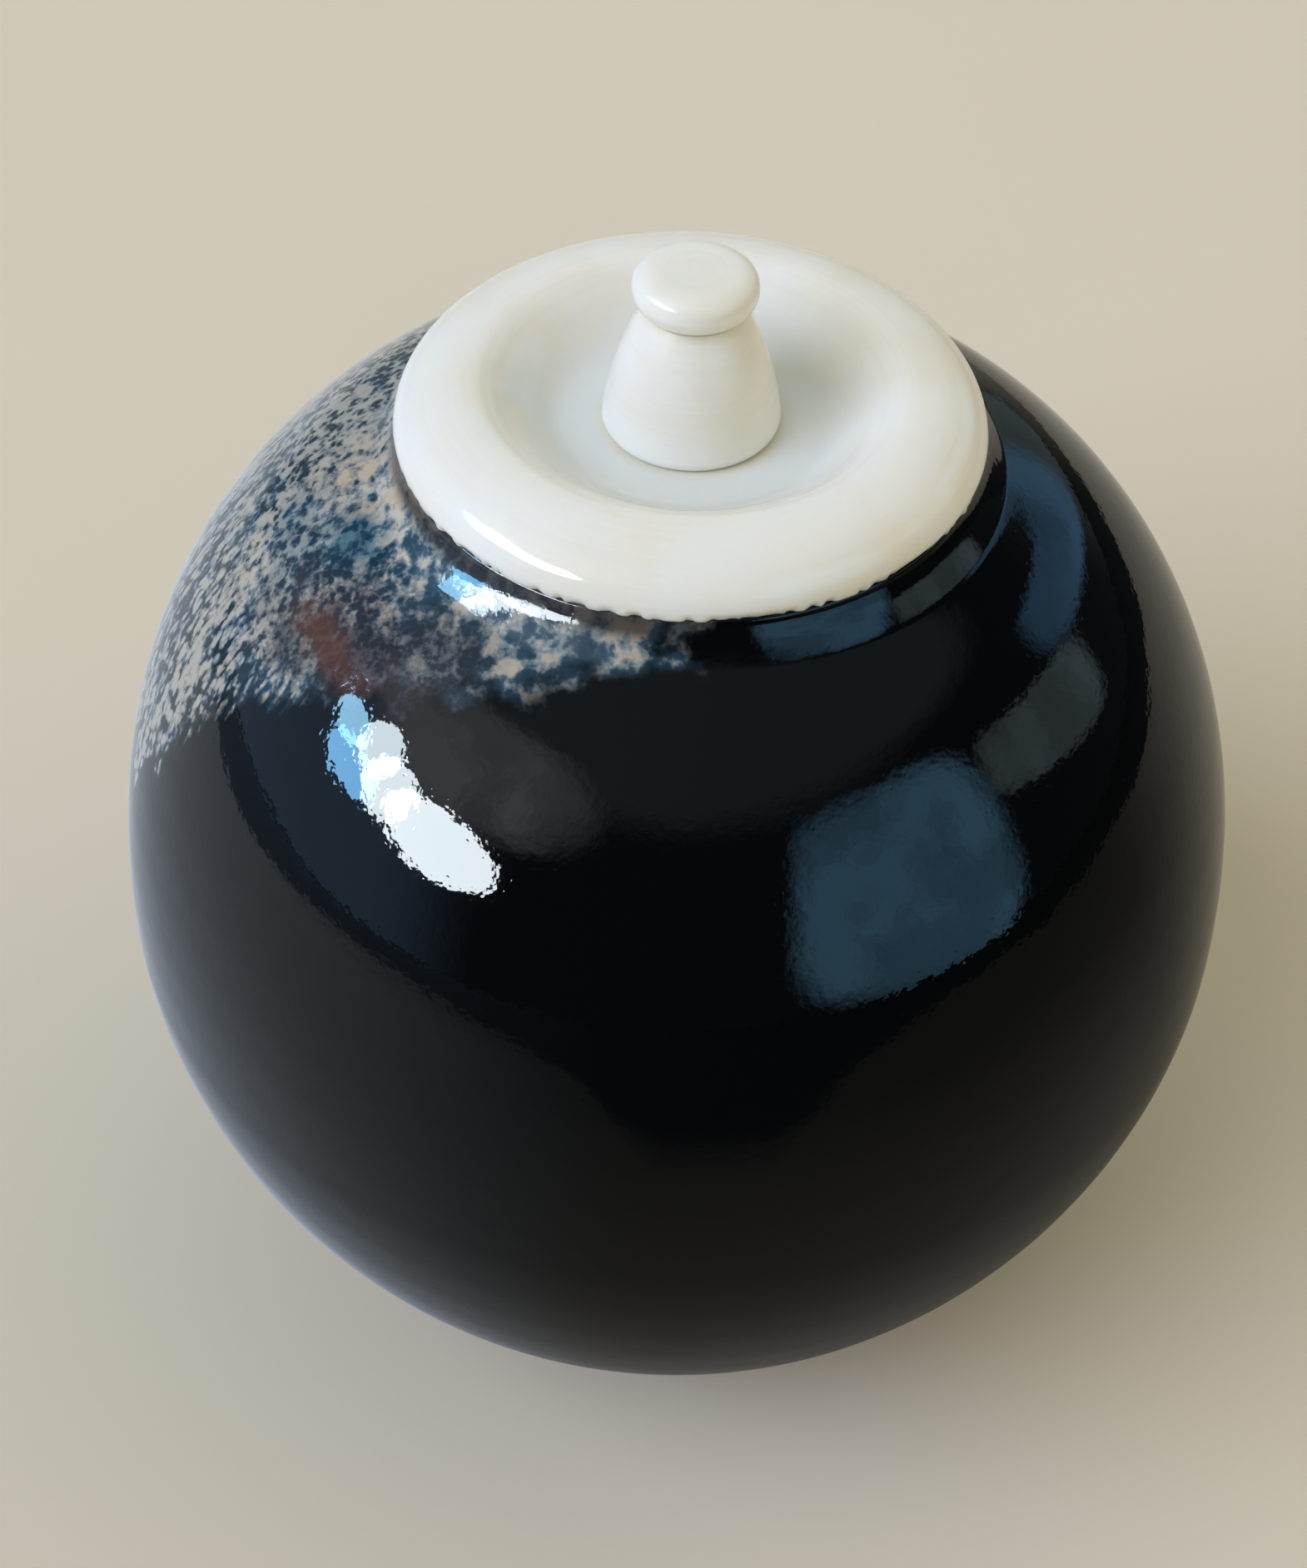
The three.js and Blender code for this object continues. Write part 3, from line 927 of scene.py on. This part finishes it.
# Light: a row of white and cool softboxes on the left, which only the gloss sees, and soft ones on the left,
# above, on the right and behind, which it doesn't. Each has the azimuth and elevation of its middle, its
# width and height, all in degrees, how bright it looks, and its colour.
lights = {
    "distance": 6.0,
    "gloss": {
        "white": (-53.5, 24.3, 27, 13.5, 38, (0.84, 0.94, 1)),
        "white_mid": (-69, 25.5, 13, 13, 34, (0.82, 0.93, 1)),
        "white_end": (-76.5, 28.8, 11, 11, 30, (0.78, 0.92, 1)),
        "cool": (-79, 21.5, 17, 9, 26, (0.22, 0.58, 1)),
        "cool_end": (-85.5, 26.5, 11, 7, 26, (0.34, 0.7, 1)),
    },
    "soft": {
        "key": (-64, 28, 48, 27, 4.6, (0.42, 0.58, 1)),
        "high": (-55, 48, 50, 36, 3.3, (0.86, 0.87, 1)),
        "right": (95, 28, 60, 40, 0.95, (1, 0.82, 0.79)),
        "back": (180, 45, 90, 50, 0.6, (0.7, 0.76, 1)),
    },
}


# An ellipse that faces the origin. Its power is its brightness times pi times its area, pi/4 width height.
def makeLight(name, azimuth, elevation, wide, tall, bright, colour):
    far = lights["distance"]
    turn, lift = math.radians(azimuth), math.radians(elevation)
    toward = Vector((math.sin(turn) * math.cos(lift), -math.cos(turn) * math.cos(lift), math.sin(lift)))
    lamp = bpy.data.lights.new("softbox_" + name, "AREA")
    lamp.shape = "ELLIPSE"
    lamp.size = 2 * far * math.tan(math.radians(wide / 2))
    lamp.size_y = 2 * far * math.tan(math.radians(tall / 2))
    lamp.energy = bright * math.pi * math.pi / 4 * lamp.size * lamp.size_y
    lamp.color = colour
    holder = bpy.data.objects.new("softbox_" + name, lamp)
    facing = toward.to_track_quat("Z", "Y").to_matrix().to_4x4()
    holder.matrix_world = Matrix.Translation(toward * far) @ facing
    holder.visible_camera = False
    scene.collection.objects.link(holder)
    return holder


for name, box in lights["gloss"].items():
    makeLight(name, *box).visible_diffuse = False
for name, box in lights["soft"].items():
    makeLight(name, *box).visible_glossy = False


# Room: a plain dome lights the scene, and the camera sees a pale backdrop. The gloss sees a room instead that
# is pale above, bluer on the left, and eases to dark low down everywhere but at the back, so that the glaze
# stays black there, with a blue dusk at the far left. Soft, cloudy panes stand out from the dark. Angles are
# in degrees.
room = {
    "backdrop": (0.61, 0.565, 0.47, 1),
    "plain": (0.36, 0.355, 0.21, 1),
    "cool": (0.29, 0.37, 0.43, 1),
    "warm": (0.23, 0.3, 0.29, 1),
    "dark": (0.04, 0.045, 0.052, 1),
    "dusk": (0.42, 0.66, 0.95, 1),
    "darkLift": (50, 41),  # elevations where the dark starts and is full
    "darkSides": 0.9,  # narrows the wedge at the back that stays pale
    # Where each starts and is full, in parts of a direction of length 1
    "darkFrom": (0.45, -0.1),
    "duskFrom": (-0.6, -0.9),
    "warmFrom": (-0.7, 0.7),
    # Azimuth, elevation, half width, half height and lean, then power and colour
    "panes": (
        (-61, 43, 25, 13, 0, 2.0, (1.5, 1.57, 1.65, 1)),
        (49.5, 20, 22.5, 20.5, -8, 4.0, (0.78, 1.8, 2.7, 1)),
        (95, 19, 18, 6.5, -27, 4.0, (0.75, 1.0, 1.1, 1)),
        (128, 17.5, 20, 7.5, -31, 4.0, (0.34, 0.78, 1.3, 1)),
    ),
    "paneEdge": (1.7, 0.4),  # outside and inside of the soft edge, 1 on the pane's outline
    "paneCloud": 0.35,  # share of a pane that its clouds hide
    "cloudSize": 0.3,
    "cloudEdge": (0.42, 0.62),
}


# Outline of a pane: (u/w)^p + (v/h)^p = 1, with u and v along and across its lean. The power p is 2 for an
# oval and 4 for a rectangle with rounded corners.
def makePane(turn, lift, angles, power):
    azimuth, elevation, wide, tall, lean = [math.radians(angle) for angle in angles]
    across, up = (turn - azimuth) * math.cos(elevation), lift - elevation
    along = (across * math.cos(lean) + up * math.sin(lean)) / wide
    aside = (up * math.cos(lean) - across * math.sin(lean)) / tall
    return (along ** power + aside ** power).fade(*room["paneEdge"])


def makeRoom():
    world = bpy.data.worlds.new("studio_room")
    world.use_nodes = True
    tree = world.node_tree
    spot = Wire(tree, tree.nodes.new("ShaderNodeTexCoord").outputs["Generated"])
    x, y, z = spot.parts()
    lift, turn = z.apply("ARCSINE"), axisTurn(x, y)
    facing = (y - x.apply("ABSOLUTE") * room["darkSides"]).fade(*room["darkFrom"])
    low = lift.fadeAngle(*room["darkLift"]) * facing
    pale = x.fade(*room["warmFrom"]).mix(room["cool"], room["warm"])
    dark = x.fade(*room["duskFrom"]).mix(room["dark"], room["dusk"])
    colour = low.mix(pale, dark)
    clear = 1 - room["paneCloud"] * spot.noise(room["cloudSize"], 3.0).fade(*room["cloudEdge"])
    for *angles, power, tint in room["panes"]:
        colour = (makePane(turn, lift, angles, power) * clear).mix(colour, tint)
    path = tree.nodes.new("ShaderNodeLightPath")
    plain = Wire(tree, path.outputs["Is Camera Ray"]).mix(room["plain"], room["backdrop"])
    colour = Wire(tree, path.outputs["Is Glossy Ray"]).mix(plain, colour)
    tree.links.new(colour.socket, tree.nodes["Background"].inputs["Color"])
    scene.world = world


makeRoom()
print("lights placed")


# Camera: pitched down and rolled a little, in degrees, and aimed so that the middle of the belly falls on a
# point of the frame.
view = {
    "frame": (1570, 1884),
    "focal": 3536.1,  # in frame pixels
    "pitch": 45.05,
    "roll": 1.744,
    "distance": 191.89,  # millimetres
    "bellyAt": (810.5, 1004.6),
    "sensor": 36,
    "clipStart": 10,
}


def makeCamera():
    pitch, roll, far = math.radians(view["pitch"]), math.radians(view["roll"]), view["distance"]
    forward = Vector((0, math.cos(pitch), -math.sin(pitch)))
    right, up = Vector((1, 0, 0)), Vector((0, math.sin(pitch), math.cos(pitch)))
    across = math.cos(roll) * right + math.sin(roll) * up
    upward = math.cos(roll) * up - math.sin(roll) * right
    wide, tall = view["frame"]
    offX = (view["bellyAt"][0] - wide / 2) / view["focal"] * far
    offY = (tall / 2 - view["bellyAt"][1]) / view["focal"] * far
    place = (Vector((0, 0, jar["bellyHeight"])) - forward * far - across * offX - upward * offY) * mm
    lens = bpy.data.cameras.new("camera")
    lens.sensor_width = view["sensor"]
    lens.lens = view["focal"] / max(wide, tall) * lens.sensor_width
    lens.clip_start = view["clipStart"] * mm
    holder = bpy.data.objects.new("camera", lens)
    turn = Matrix((across, upward, -forward)).transposed()
    holder.matrix_world = Matrix.Translation(place) @ turn.to_4x4()
    scene.collection.objects.link(holder)
    scene.camera = holder


makeCamera()
print("camera placed")
